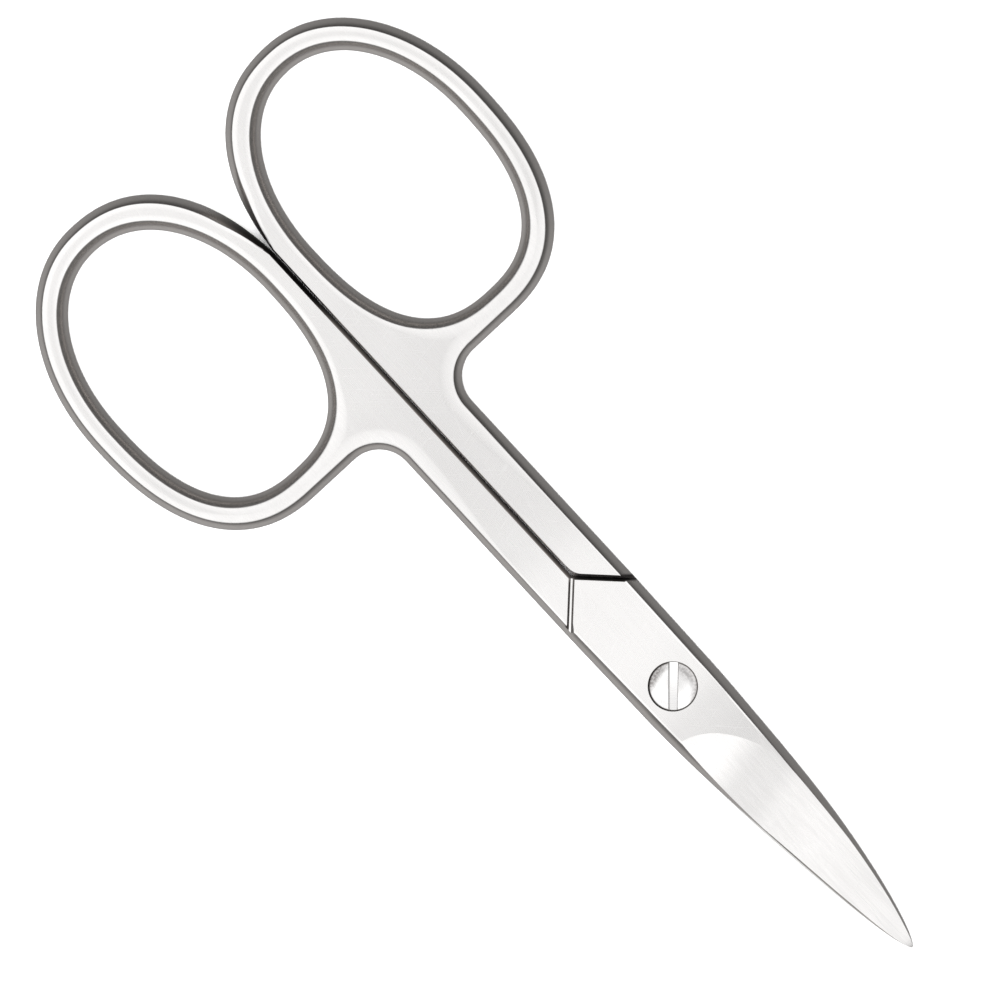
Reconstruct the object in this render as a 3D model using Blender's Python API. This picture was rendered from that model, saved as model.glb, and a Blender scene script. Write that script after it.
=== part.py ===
"""Nail scissors: two forged halves and the slotted screw that they turn on.

Lengths are in metres. The origin is on the screw's axis, in the plane the scissors lie on.
+X runs to the tips, +Y to the lower half's finger ring and +Z up through the screw's head.
Every shape of a half is drawn for the upper one, whose ring is on the -Y side. The lower
half is the same blank turned over about the long axis, with the screw's thread cut in it.
"""

import math

import bmesh
import bpy
from mathutils import Matrix, Vector

# The forged stock, and the gaps left between the closed halves
thickness = 0.0030
lap_gap = 0.00010
seam_gap = 0.00028
shoulder_gap = 0.00030
overrun = 0.0010

# Finger ring: an outer oval that touches the seam, and the walls round its hole
ring_back_reach = 0.0612
ring_length = 0.0298
ring_width = 0.02186
back_wall = 0.00275
front_wall = 0.00271
side_wall = 0.00267
seam_wall = 0.00253
neck_fillet = 0.0030
outer_back_share = 2.07
crotch_share = 2.25
outer_front_share = 2.4
hole_back_share = 2.1
hole_front_share = 2.5
ring_points = 16

# Flanks: how far the rounded forged sides stand out from the flat faces
ring_flank = 0.00068
hole_flank = 0.00084
shank_flank = 0.00064
spine_flank = 0.00056
edge_flank = 0.00076
mating_flank = 0.00010
crotch_depth = 0.0008
flank_height_shares = (-1.0, -0.72, -0.38, 0.0, 0.38, 0.72, 1.0)

# Shank and shoulder: the lap begins at a V that points to the handles
shank_width = 0.00738
apex_reach = 0.0124
shoulder_angle = math.radians(45)
mark_width = 0.00042
mark_depth = 0.00014

# Blade
tip_reach = 0.0291
joint_width = 0.0072
blade_taper_share = 1.55
blade_end_share = 0.64
tip_flank_share = 0.6
blade_points = 18
tip_crowding_share = 1.8

# Outer face of the blade, ground down past a curved start line
grind_start = 0.0035
arc_end = 0.0129
grind_full = 0.0190
grind_ease_share = 1.1
spine_taper_start = 0.0080
grind_edge_share = -0.80
grind_spine_share = 0.87
grind_curve_share = 1.9
edge_thickness = 0.00010
tip_thickness = 0.00065
grind_margin = 0.00030
grind_rows = 12
ramp_steps = 10
blade_steps = 6

# Inner face of the blade, hollowed so that only the edges meet
hollow_start = 0.0055
hollow_tip_land = 0.0016
hollow_depth = 0.00014
hollow_width_share = 0.74
hollow_end_share = 6
hollow_past_share = 1.15
hollow_rows = 8
hollow_steps = 14

# Screw
head_diameter = 0.0040
head_rim = 0.00020
head_sink = 0.00014
dome_height = 0.00028
screw_diameter = 0.0026
cone_height = 0.00065
end_chamfer = 0.00012
slot_width = 0.00078
slot_depth = 0.00055
slot_angle = math.radians(-42.8)
seat_clearance = 0.00007
thread_clearance = 0.00003
screw_points = 48
dome_steps = 4

# Places that follow from the sizes above
middle = thickness / 2
half_seam = seam_gap / 2
shank_side = shank_width / 2
joint_side = joint_width / 2
head_radius = head_diameter / 2
screw_radius = screw_diameter / 2
rim_height = thickness - head_sink
cone_top = rim_height - head_rim
cone_bottom = cone_top - cone_height
apex_shift = shoulder_gap / 2 / math.sin(shoulder_angle)
tongue_apex = apex_shift - apex_reach
shoulder_apex = -apex_shift - apex_reach
tongue_corner = tongue_apex + shank_side / math.tan(shoulder_angle)
ring_centre = Vector((ring_length / 2 - ring_back_reach, -ring_width / 2))
hole_length = ring_length - back_wall - front_wall
hole_width = ring_width - side_wall - seam_wall
hole_centre = Vector(
    (back_wall + hole_length / 2 - ring_back_reach, side_wall + hole_width / 2 - ring_width)
)
turn_over = Matrix.Translation((0, 0, thickness)) @ Matrix.Rotation(math.pi, 4, "X")


def add_object(name, mesh):
    """Makes the object, with its faces turned to look out."""
    bmesh.ops.recalc_face_normals(mesh, faces=mesh.faces)
    if mesh.calc_volume(signed=True) < 0:
        bmesh.ops.reverse_faces(mesh, faces=mesh.faces)
    shape = bpy.data.meshes.new(name)
    mesh.to_mesh(shape)
    mesh.free()
    made = bpy.data.objects.new(name, shape)
    bpy.context.scene.collection.objects.link(made)
    return made


def skinned(name, loops):
    """A closed solid through loops of points. A loop of one point closes an end to a tip."""
    mesh = bmesh.new()
    rows = [[mesh.verts.new(point) for point in loop] for loop in loops]
    for low, high in zip(rows, rows[1:]):
        count = max(len(low), len(high))
        for k in range(count):
            after = (k + 1) % count
            if len(low) == 1:
                mesh.faces.new((low[0], high[after], high[k]))
            elif len(high) == 1:
                mesh.faces.new((low[k], low[after], high[0]))
            else:
                mesh.faces.new((low[k], low[after], high[after], high[k]))
    for cap in (rows[0], rows[-1]):
        if len(cap) > 1:
            mesh.faces.new(cap)
    return add_object(name, mesh)


def block_between(name, lower, upper):
    """A closed solid between two grids of points with the same rows and columns."""
    mesh = bmesh.new()
    last_row, last_column = len(lower) - 1, len(lower[0]) - 1
    grids = [[[mesh.verts.new(point) for point in row] for row in grid] for grid in (lower, upper)]
    for grid in grids:
        for i in range(last_row):
            for j in range(last_column):
                mesh.faces.new((grid[i][j], grid[i][j + 1], grid[i + 1][j + 1], grid[i + 1][j]))
    rim = [(0, j) for j in range(last_column)]
    rim += [(i, last_column) for i in range(last_row)]
    rim += [(last_row, j) for j in range(last_column, 0, -1)]
    rim += [(i, 0) for i in range(last_row, 0, -1)]
    low, high = grids
    for (i, j), (m, n) in zip(rim, rim[1:] + rim[:1]):
        mesh.faces.new((low[i][j], low[m][n], high[m][n], high[i][j]))
    return add_object(name, mesh)


def turned(name, profile):
    """A round solid about the screw's axis. Its profile of radii and heights starts and ends on it."""
    loops = []
    for radius, height in profile:
        if radius == 0:
            loops.append([(0, 0, height)])
            continue
        turns = [math.tau * k / screw_points for k in range(screw_points)]
        loops.append([(radius * math.cos(a), radius * math.sin(a), height) for a in turns])
    return skinned(name, loops)


def cut(target, cutter):
    """Takes the cutter out of the target and keeps it in the scene as a wire guide."""
    cutter.hide_render = True
    cutter.display_type = "WIRE"
    modifier = target.modifiers.new(cutter.name, "BOOLEAN")
    modifier.operation = "DIFFERENCE"
    modifier.solver = "EXACT"
    modifier.object = cutter


def oval_point(centre, half_length, half_width, power, angle):
    """A point of an oval that the power makes squarer the more it is over two."""
    along, across = math.cos(angle), math.sin(angle)
    return Vector(
        (
            centre.x + half_length * math.copysign(abs(along) ** (2 / power), along),
            centre.y + half_width * math.copysign(abs(across) ** (2 / power), across),
        )
    )


def spaced(start, end, count):
    """Evenly spaced values from start to end, both included."""
    return [start + (end - start) * k / count for k in range(count + 1)]


def blade_half_width(x):
    """Widest over the screw, then one long curve to a fine point."""
    return joint_side * (1 - (x / tip_reach) ** blade_taper_share) ** blade_end_share


def blade_stations():
    """Places along the blade, closer together toward the tip."""
    shares = [k / blade_points for k in range(blade_points + 1)]
    return [tip_reach * (1 - (1 - share) ** tip_crowding_share) for share in shares]


def ring_outline():
    """The outer oval from the seam round the back and the side to the front of the ring."""
    half_length, half_width = ring_length / 2, ring_width / 2
    leaves_seam = math.asin((1 - half_seam / half_width) ** (crotch_share / 2))
    quarters = (
        (crotch_share, math.pi - leaves_seam, math.pi),
        (outer_back_share, math.pi, 3 * math.pi / 2),
        (outer_front_share, 3 * math.pi / 2, math.tau),
    )
    points = []
    for power, start, end in quarters:
        for angle in spaced(start, end, ring_points):
            points.append(oval_point(ring_centre, half_length, half_width, power, angle))
    return points


def neck_outline():
    """The hollow corner between the front of the ring and the outer side of the shank."""
    centre = Vector((ring_centre.x + ring_length / 2 + neck_fillet, -shank_side - neck_fillet))
    angles = spaced(math.pi, math.pi / 2, ring_points // 2)
    return [centre + neck_fillet * Vector((math.cos(a), math.sin(a))) for a in angles]


def half_outline():
    """The plan of a half, counter-clockwise, as pairs of a point and the flank that follows it."""
    outline = [(Vector((tongue_apex - half_seam, -half_seam)), mating_flank)]
    for point in ring_outline():
        share = math.sqrt(min(max(-point.y - half_seam, 0) / crotch_depth, 1))
        outline.append((point, mating_flank + (ring_flank - mating_flank) * share))
    outline += [(point, shank_flank) for point in neck_outline()]
    outline.append((Vector((tongue_corner, -shank_side)), edge_flank))
    stations = blade_stations()
    widths = [blade_half_width(x) for x in stations]
    for k in range(blade_points):
        flank = min(edge_flank, tip_flank_share * widths[k + 1])
        outline.append((Vector((stations[k], -widths[k])), flank))
    for k in range(blade_points, -1, -1):
        flank = min(spine_flank, tip_flank_share * widths[k])
        outline.append((Vector((stations[k], widths[k])), flank))
    outline.append((Vector((tongue_corner, shank_side)), mating_flank))
    return without_repeats(outline)


def without_repeats(outline):
    kept = []
    for point, flank in outline:
        if not kept or (point - kept[-1][0]).length > thread_clearance:
            kept.append((point, flank))
    return kept


def hole_outline():
    half_length, half_width = hole_length / 2, hole_width / 2
    quarters = (
        (hole_front_share, 0),
        (hole_back_share, math.pi / 2),
        (hole_back_share, math.pi),
        (hole_front_share, 3 * math.pi / 2),
    )
    points = []
    for power, start in quarters:
        for angle in spaced(start, start + math.pi / 2, ring_points)[:-1]:
            points.append(oval_point(hole_centre, half_length, half_width, power, angle))
    return [(point, -hole_flank) for point in points]


def set_in(outline, share):
    """The outline with each side moved in by this share of its flank, and its corners mitred."""
    moved = []
    for k, (point, flank) in enumerate(outline):
        before, flank_before = outline[k - 1]
        after = outline[(k + 1) % len(outline)][0]
        inward = (point - before).orthogonal().normalized()
        inward_next = (after - point).orthogonal().normalized()
        turn = inward.cross(inward_next)
        if abs(turn) > math.sin(shoulder_angle / 2):
            step = (inward_next.orthogonal() * -flank_before + inward.orthogonal() * flank) / turn
        else:
            step = (inward + inward_next).normalized() * (flank_before + flank) / 2
        moved.append(point + share * step)
    return moved


def flanked_loops(outline, lift_shares):
    """Loops of the outline from the underside to the top, set in by the curve of the flank."""
    loops = []
    for lift in lift_shares:
        height = middle + middle * lift
        loops.append([(p.x, p.y, height) for p in set_in(outline, lift**2)])
    return loops


def ring_hole_cutter(name):
    past_face = 1 + overrun / middle
    lifts = (-past_face, *flank_height_shares, past_face)
    return skinned(name, flanked_loops(hole_outline(), lifts))


def lap_cutter(name):
    """Clears the other half's layer: all that lies ahead of the shoulder below the middle."""
    reach = shank_side + overrun
    shoulder_end = shoulder_apex + reach / math.tan(shoulder_angle)
    plan = (
        (shoulder_apex, 0),
        (shoulder_end, -reach),
        (tip_reach + overrun, -reach),
        (tip_reach + overrun, reach),
        (shoulder_apex, reach),
    )
    heights = (-overrun, middle + lap_gap / 2)
    return skinned(name, [[(x, y, height) for x, y in plan] for height in heights])


def grind_rows_across():
    """Each row's place across the blade, from edge to spine, and where along it the grind starts."""
    rows = [(-1 - overrun / joint_side, grind_start)]
    for angle in spaced(0, math.pi / 2, grind_rows):
        across = math.sin(angle) ** (2 / grind_curve_share)
        back = math.cos(angle) ** (2 / grind_curve_share)
        side = grind_edge_share + (grind_spine_share - grind_edge_share) * across
        rows.append((side, arc_end - (arc_end - grind_start) * back))
    rows.append((1 + overrun / joint_side, arc_end))
    return rows


def grind_cutter(name):
    """The wheel's path over the outer face: a curved start, a ramp, then a wedge to the tip."""
    stock = middle - lap_gap / 2
    edge_drop = stock - edge_thickness
    past_ramp = spaced(grind_full, tip_reach + overrun, blade_steps)[1:]
    floor, top = [], []
    for side, start in grind_rows_across():
        stations = spaced(start, grind_full, ramp_steps) + past_ramp
        floor_row, top_row = [], []
        for x in stations:
            ramp = min((x - start) / (grind_full - start), 1)
            taper = max((x - spine_taper_start) / (tip_reach - spine_taper_start), 0)
            spine_drop = (stock - tip_thickness) * taper
            drop = spine_drop + (edge_drop - spine_drop) * (1 - side) / 2
            drop *= 1 - (1 - ramp) ** grind_ease_share
            y = side * (blade_half_width(min(x, tip_reach)) + grind_margin)
            floor_row.append((x, y, thickness - drop))
            top_row.append((x, y, thickness + overrun))
        floor.append(floor_row)
        top.append(top_row)
    return block_between(name, floor, top)


def hollow_cutter(name):
    """A shallow dish along the inner face that leaves a land at the edge, the spine and the tip."""
    inner_face = middle + lap_gap / 2
    dish_end = tip_reach - hollow_tip_land
    dish_middle = (hollow_start + dish_end) / 2
    dish_reach = (dish_end - hollow_start) / 2
    floor, roof = [], []
    for side in spaced(-hollow_past_share, hollow_past_share, hollow_rows):
        floor_row, roof_row = [], []
        for along in spaced(-hollow_past_share, hollow_past_share, hollow_steps):
            x = min(dish_middle + along * dish_reach, tip_reach)
            y = side * hollow_width_share * blade_half_width(x)
            rise = hollow_depth * (1 - side**2 - abs(along) ** hollow_end_share)
            floor_row.append((x, y, inner_face - overrun))
            roof_row.append((x, y, inner_face + rise))
        floor.append(floor_row)
        roof.append(roof_row)
    return block_between(name, floor, roof)


def mark_cutter(name):
    """The shallow line pressed in the face above the edge of the other half's tongue."""
    along = Vector((math.cos(shoulder_angle), -math.sin(shoulder_angle)))
    across = along.orthogonal()
    start = Vector((tongue_apex, 0)) - along * overrun
    end = Vector((tongue_corner, -shank_side)) + along * overrun
    spread = mark_width / 2 * (mark_depth + overrun) / mark_depth
    loops = []
    for place in (start, end):
        left, right = place + across * spread, place - across * spread
        loops.append(
            [
                (place.x, place.y, thickness - mark_depth),
                (right.x, right.y, thickness + overrun),
                (left.x, left.y, thickness + overrun),
            ]
        )
    return skinned(name, loops)


def seat_cutter(name):
    """The clear bore for the screw, and the countersink that its head lies in."""
    bore, rim = screw_radius + seat_clearance, head_radius + seat_clearance
    profile = (
        (0, -overrun),
        (bore, -overrun),
        (bore, cone_bottom),
        (rim, cone_top),
        (rim, thickness + overrun),
        (0, thickness + overrun),
    )
    return turned(name, profile)


def thread_cutter(name):
    """The threaded bore, at the thread's outer diameter."""
    bore = screw_radius + thread_clearance
    heights = (-overrun, thickness + overrun)
    return turned(name, ((0, heights[0]), (bore, heights[0]), (bore, heights[1]), (0, heights[1])))


def slot_cutter(name):
    reach, side = head_radius + overrun, slot_width / 2
    floor_height = rim_height + dome_height - slot_depth
    turn = Matrix.Rotation(slot_angle, 2)
    plan = [turn @ Vector(p) for p in ((-reach, -side), (reach, -side), (reach, side), (-reach, side))]
    heights = (floor_height, thickness + overrun)
    return skinned(name, [[(p.x, p.y, height) for p in plan] for height in heights])


def steel(name, colour, roughness):
    made = bpy.data.materials.new(name)
    made.use_nodes = True
    shader = made.node_tree.nodes["Principled BSDF"]
    shader.inputs["Base Color"].default_value = (*colour, 1)
    shader.inputs["Metallic"].default_value = 1
    shader.inputs["Roughness"].default_value = roughness
    return made


def finish(part, material):
    part.data.materials.append(material)
    part.data.shade_smooth()
    part.data.set_sharp_from_angle(angle=shoulder_angle / 2)


def build_half(name, screw_bore_cutter, placing, material):
    half = skinned(name, flanked_loops(half_outline(), flank_height_shares))
    cutters = (
        ring_hole_cutter(name + "_ring_hole"),
        lap_cutter(name + "_lap"),
        grind_cutter(name + "_grind"),
        hollow_cutter(name + "_hollow"),
        mark_cutter(name + "_mark"),
        screw_bore_cutter(name + "_screw_bore"),
    )
    for shape in (half, *cutters):
        shape.data.transform(placing)
    for cutter in cutters:
        cut(half, cutter)
    finish(half, material)


def build_screw(name, material):
    dome = [
        (head_radius * (1 - share), rim_height + dome_height * share * (2 - share))
        for share in spaced(0, 1, dome_steps)
    ]
    profile = (
        (0, 0),
        (screw_radius - end_chamfer, 0),
        (screw_radius, end_chamfer),
        (screw_radius, cone_bottom),
        (head_radius, cone_top),
        *dome,
    )
    screw = turned(name, profile)
    cut(screw, slot_cutter(name + "_slot"))
    finish(screw, material)


def main():
    for old in list(bpy.data.objects):
        bpy.data.objects.remove(old)
    upper_steel = steel("upper_steel", (0.78, 0.77, 0.76), 0.28)
    lower_steel = steel("lower_steel", (0.76, 0.75, 0.74), 0.30)
    screw_steel = steel("screw_steel", (0.70, 0.69, 0.68), 0.22)
    build_half("upper_half", seat_cutter, Matrix.Identity(4), upper_steel)
    build_half("lower_half", thread_cutter, turn_over, lower_steel)
    build_screw("pivot_screw", screw_steel)


main()
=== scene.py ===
"""Nail scissors: the finished look of two forged halves and the slotted screw between them.

Lengths are in metres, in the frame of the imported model: the origin is on the screw's axis in
the plane the scissors lie on, +X runs to the tips and +Z up through the screw's head. Every
shape of a half is drawn for the upper one. The lower half is the same blank turned over.
"""

import math
from operator import mul

import bmesh
import bpy
from bpy.props import FloatProperty, FloatVectorProperty, PointerProperty
from mathutils import Matrix, Vector


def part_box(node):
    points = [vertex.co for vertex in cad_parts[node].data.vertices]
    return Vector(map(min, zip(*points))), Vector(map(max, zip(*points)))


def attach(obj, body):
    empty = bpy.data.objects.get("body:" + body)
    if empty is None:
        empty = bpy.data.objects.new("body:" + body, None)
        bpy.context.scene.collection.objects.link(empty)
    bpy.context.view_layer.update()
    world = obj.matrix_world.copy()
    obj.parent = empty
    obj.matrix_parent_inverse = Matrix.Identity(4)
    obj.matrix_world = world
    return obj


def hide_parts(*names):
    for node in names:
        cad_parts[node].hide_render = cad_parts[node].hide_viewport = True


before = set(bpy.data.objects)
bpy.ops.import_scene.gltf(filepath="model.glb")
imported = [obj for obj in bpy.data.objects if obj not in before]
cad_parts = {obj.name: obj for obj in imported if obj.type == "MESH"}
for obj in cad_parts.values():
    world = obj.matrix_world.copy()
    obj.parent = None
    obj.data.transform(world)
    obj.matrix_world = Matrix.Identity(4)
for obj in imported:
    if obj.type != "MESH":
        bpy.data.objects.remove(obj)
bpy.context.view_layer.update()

bl_info = {
    "name": "Nail scissors",
    "version": (1, 0, 0),
    "blender": (4, 5, 0),
    "location": "3D View > Sidebar > Scissors",
    "description": "Builds finished nail scissors around the packed model",
    "category": "Add Mesh",
}

half_low, half_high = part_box("upper_half")
screw_low, screw_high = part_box("pivot_screw")

# How finely each shape is cut
ring_points = 40
fillet_points = 20
blade_points = 64
flank_rows = 9
corner_rows = 4
rim_shares = (0.1, 0.28, 0.46, 0.64, 0.82, 1.0)
grind_rows = 34
ramp_steps = 34
blade_steps = 44
hollow_rows = 20
hollow_steps = 44
screw_points = 128
dome_rows = 14
round_points = 9
slot_steps = 48
crease_angle = math.radians(11)

# Shapes that no size names
rim_power = 1.5
narrow_rim_share = 0.2
yoke_share = 0.2
hole_yoke_shares = (0.72, 0.98)
shank_blend_share = 0.6
widest_bevel_share = 0.1
lead_in_share = 6
dome_shoulder_share = 0.60
sway_power = 1.7
overrun = 0.0010
least_gap = 0.00002


def length(default, description):
    return FloatProperty(default=default, description=description, unit="LENGTH", precision=5)


def share(default, description):
    return FloatProperty(default=default, description=description, precision=3)


def angle(degrees, description):
    return FloatProperty(default=math.radians(degrees), description=description, subtype="ANGLE")


def colour(default, description):
    return FloatVectorProperty(default=default, description=description, subtype="COLOR", min=0, max=1)


class StockSizes(bpy.types.PropertyGroup):
    """The forged stock, the gaps between the closed halves and the softened edges."""

    thickness: length(half_high.z, "Stock over both layers")
    lap_gap: length(0.00010, "Gap between the blades' inner faces")
    seam_gap: length(0.00013, "Gap between the closed shanks")
    shoulder_gap: length(0.00026, "Gap between tongue and shoulder")
    edge_break: length(0.00006, "Rounding between face and flank")
    seam_break: length(0.00010, "Softened edge along the seam")


class RingSizes(bpy.types.PropertyGroup):
    """The finger ring: an outer oval that touches the seam, and the walls round its hole."""

    back_reach: length(-half_low.x, "From the screw to the ring's back")
    outer_length: length(0.0298, "Outer length of the ring")
    outer_width: length(-half_low.y, "Outer width of the ring")
    back_wall: length(0.00275, "Wall behind the hole")
    front_wall: length(0.00271, "Wall ahead of the hole")
    side_wall: length(0.00267, "Wall on the hole's outer side")
    seam_wall: length(0.00253, "Wall between hole and seam")
    neck_fillet: length(0.0030, "Corner radius between ring and shank")
    outer_back: share(2.07, "Power of the outer oval at the back")
    crotch: share(2.25, "Power of the outer oval beside the seam")
    outer_front: share(2.4, "Power of the outer oval at the front")
    hole_back: share(2.1, "Power of the hole's oval at the back")
    hole_front: share(2.5, "Power of the hole's oval at the front")
    rim_width: length(0.00050, "Crowned border of the ring")
    neck_rim_width: length(0.00125, "Crowned border at the yoke")
    rim_slope: share(0.20, "Slope of the crowned border by the flank")


class FlankSizes(bpy.types.PropertyGroup):
    """How far the rounded forged sides stand out from the flat faces."""

    ring: length(0.00068, "Round the outside of the ring")
    hole: length(0.00084, "Round the finger hole")
    shank: length(0.00064, "Along the shank")
    spine: length(0.00055, "Spine where the ground face starts")
    spine_tip: length(0.00064, "Spine along the ground blade")
    spine_joint: length(0.00061, "Spine beside the screw")
    edge: length(0.00081, "On the cutting edge's side")
    mating: length(0.00014, "Along the seam and the tongue")
    crotch_depth: length(0.0008, "Distance over which the ring's flank grows")
    shank_rim: length(0.00018, "Crowned border of shank and blade")


class JointSizes(bpy.types.PropertyGroup):
    """The shank and the V shoulder where the lap begins."""

    shank_width: length(0.00738, "Width of the closed shanks")
    apex_reach: length(0.0124, "From the screw to the V's point")
    shoulder_angle: angle(45, "Slope of the V to the long axis")
    shoulder_round: length(0.0016, "Radius where the seam turns into the V")
    mark_width: length(0.00050, "Width of the pressed line beside the V")
    mark_floor: length(0.00016, "Width of that line's flat floor")
    mark_depth: length(0.00015, "Depth of that line")
    mark_end_depth: length(0.00050, "Its depth where it leaves the side")


class BladeSizes(bpy.types.PropertyGroup):
    """The blade: its outline, the ground outer face and the hollowed inner face."""

    tip_reach: length(half_high.x, "From the screw to the tip")
    joint_width: length(0.0072, "Width over the screw")
    taper: share(1.55, "Power of the side's curve from the screw")
    end: share(0.64, "Power of the side's curve at the tip")
    tip_flank: share(0.45, "Share of the half width for the edge's flank")
    tip_spine: share(0.85, "Share of the half width for the spine's flank")
    tip_crowding: share(1.8, "How close the outline's points are at the tip")
    grind_start: length(0.0035, "Start of the ground face at the edge")
    arc_end: length(0.0129, "Where its curved start line ends at the spine")
    grind_full: length(0.0190, "Where it has its full slope")
    spine_start: length(0.0110, "Where the spine starts to get thinner")
    grind_edge: share(-0.80, "Place across the blade where that line is furthest back")
    grind_spine: share(0.87, "Place across the blade where that line ends")
    grind_curve: share(1.9, "Power of that line")
    least_ramp: length(0.0040, "Shortest ramp into the ground face")
    ramp_ease: share(1.1, "How early that ramp falls")
    edge_thickness: length(0.00012, "Thickness where the cutting bevel starts")
    bevel_width: length(0.00016, "Width of the cutting bevel")
    tip_thickness: length(0.00062, "Thickness of the spine at the tip")
    grind_margin: length(0.00030, "How far the wheel's path runs past the blade")
    hollow_start: length(0.0055, "Start of the hollow on the inner face")
    hollow_land: length(0.0016, "Flat between the hollow and the tip")
    hollow_depth: length(0.00014, "Depth of the hollow")
    hollow_width: share(0.74, "Width of the hollow to the blade's")
    hollow_end: share(6, "How squarely the hollow ends")
    hollow_past: share(1.15, "How far the wheel's path runs past the hollow")
    sway: length(0.00016, "How far the upper blade's middle lies to the lower ring's side")
    sway_reach: length(0.0165, "Where the upper blade lies furthest to that side")
    tip_sway: length(0.00022, "How far both tips lie to the other side")


class ScrewSizes(bpy.types.PropertyGroup):
    """The countersunk screw with its slotted, domed head."""

    head_diameter: length(screw_high.x - screw_low.x, "Diameter of the head")
    head_rim: length(0.00020, "Height of the head's straight rim")
    head_sink: length(0.00014, "How far the rim lies under the face")
    dome_top: length(screw_high.z, "Height of the dome's middle")
    rim_round: length(0.00055, "Width over which the dome rounds off")
    diameter: length(0.0026, "Outer diameter of the thread")
    cone_height: length(0.00065, "Height of the countersunk cone")
    end_chamfer: length(0.00012, "Chamfer on the screw's end")
    slot_width: length(0.00074, "Width of the slot")
    slot_lean: length(0.00006, "How far each wall of the slot leans in")
    slot_taper: length(0.00006, "How far one wall nears the other")
    slot_depth: length(0.00052, "Greatest depth under the dome's middle")
    slot_low: length(0.0010, "Where the slot's floor is lowest")
    saw_radius: length(0.026, "Radius of the floor that the saw left")
    slot_break: length(0.00004, "Chamfer along the slot's edges")
    slot_angle: angle(-42.8, "Direction of the slot")
    seat_clearance: length(0.00005, "Gap round the head and the neck")
    head_play: length(0.000035, "How far the head lies off its seat's middle")
    play_angle: angle(50, "Direction in which it lies off")
    seat_break: length(0.00002, "Chamfer round the countersink")
    thread_clearance: length(0.00003, "Gap round the thread")


class SteelFinish(bpy.types.PropertyGroup):
    """Colours and polish of the steel, and the colours of its painted shade."""

    face_colour: colour((0.80, 0.788, 0.780), "Ground flat faces")
    flank_colour: colour((0.60, 0.568, 0.545), "Rounded forged flanks")
    edge_colour: colour((0.92, 0.91, 0.90), "Edges that handling has polished")
    # Painted shade: dark colours that stand in for the shade in the gaps, along the seam and the V, and by
    # the screw's rim
    painted_shade_colour: colour((0.085, 0.073, 0.067), "Painted shade in the gaps")
    deep_shade_colour: colour((0.024, 0.019, 0.017), "Deeper painted shade along the V")
    screw_colour: colour((0.93, 0.92, 0.915), "Polished screw")
    rim_shade_colour: colour((0.15, 0.135, 0.13), "Painted shade by the screw's rim")
    face_roughness: share(0.27, "Roughness of the flat faces")
    flank_roughness: share(0.24, "Roughness of the flanks")
    screw_roughness: share(0.13, "Roughness of the screw's head")
    grain_length: length(0.0045, "Length of the grinding marks")
    grain_width: length(0.000065, "Width of the grinding marks")


class StageLooks(bpy.types.PropertyGroup):
    """Floor, light and camera."""

    floor_colour: colour((0.93, 0.93, 0.93), "Floor, and what is seen past it")
    floor_size: length(6.0, "Side of the floor")
    lens: FloatProperty(default=450, description="Focal length in millimetres")
    distance: length(1.0245, "From the camera to the target")
    tilt: angle(5.5, "Camera's lean from straight above, toward +Y")
    turn: angle(47.25, "How far the long axis points down from image right")
    target: FloatVectorProperty(
        default=(-0.02084, -0.00003, 0.0030), description="Middle of the view", subtype="TRANSLATION"
    )
    softbox_power: FloatProperty(default=9.0, description="Power in watts")
    softbox_size: length(0.60, "Side of the overhead softbox")
    softbox_height: length(0.70, "Height over the floor")


setting_groups = {
    "stock": StockSizes,
    "ring": RingSizes,
    "flank": FlankSizes,
    "joint": JointSizes,
    "blade": BladeSizes,
    "screw": ScrewSizes,
    "steel": SteelFinish,
    "stage": StageLooks,
}


class ScissorsSettings(bpy.types.PropertyGroup):
    """All sizes and looks of the scissors."""

    __annotations__ = {name: PointerProperty(type=group) for name, group in setting_groups.items()}


# ---- Places that follow from the sizes


def middle_height(s):
    return s.stock.thickness / 2


def apex_shift(s):
    """How far along the long axis half of the shoulder's gap moves the point of a V."""
    return s.stock.shoulder_gap / 2 / math.sin(s.joint.shoulder_angle)


def tongue_apex(s):
    """Where the V that ends a half's front layer has its point."""
    return apex_shift(s) - s.joint.apex_reach


def shoulder_apex(s):
    """Where the V of the shoulder, which the other half's tongue fits in, has its point."""
    return -apex_shift(s) - s.joint.apex_reach


def tongue_corner(s):
    """Where the tongue's V reaches the outer sides of the shanks."""
    return tongue_apex(s) + s.joint.shank_width / 2 / math.tan(s.joint.shoulder_angle)


def rim_height(s):
    return s.stock.thickness - s.screw.head_sink


def cone_top(s):
    return rim_height(s) - s.screw.head_rim


def cone_bottom(s):
    return cone_top(s) - s.screw.cone_height


def spaced(start, end, count):
    """Evenly spaced values from start to end, both included."""
    return [start + (end - start) * k / count for k in range(count + 1)]


def between(start, end, along):
    return start + (end - start) * along


def eased(value, start, end):
    """0 before start, 1 after end, and a smooth rise between."""
    t = min(max((value - start) / (end - start), 0), 1)
    return t * t * (3 - 2 * t)


# ---- Mesh tools


def new_object(name, mesh):
    """Makes the object, with its faces turned to look out."""
    bmesh.ops.recalc_face_normals(mesh, faces=mesh.faces)
    if mesh.calc_volume(signed=True) < 0:
        bmesh.ops.reverse_faces(mesh, faces=mesh.faces)
    shape = bpy.data.meshes.new(name)
    mesh.to_mesh(shape)
    mesh.free()
    made = bpy.data.objects.new(name, shape)
    bpy.context.scene.collection.objects.link(made)
    return made


def skinned(name, loops):
    """A closed solid through loops of points. A loop of one point closes an end to a tip."""
    mesh = bmesh.new()
    rows = [[mesh.verts.new(point) for point in loop] for loop in loops]
    for low, high in zip(rows, rows[1:]):
        count = max(len(low), len(high))
        for k in range(count):
            after = (k + 1) % count
            if len(low) == 1:
                mesh.faces.new((low[0], high[after], high[k]))
            elif len(high) == 1:
                mesh.faces.new((low[k], low[after], high[0]))
            else:
                mesh.faces.new((low[k], low[after], high[after], high[k]))
    for cap in (rows[0], rows[-1]):
        if len(cap) > 1:
            mesh.faces.new(cap)
    return new_object(name, mesh)


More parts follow.
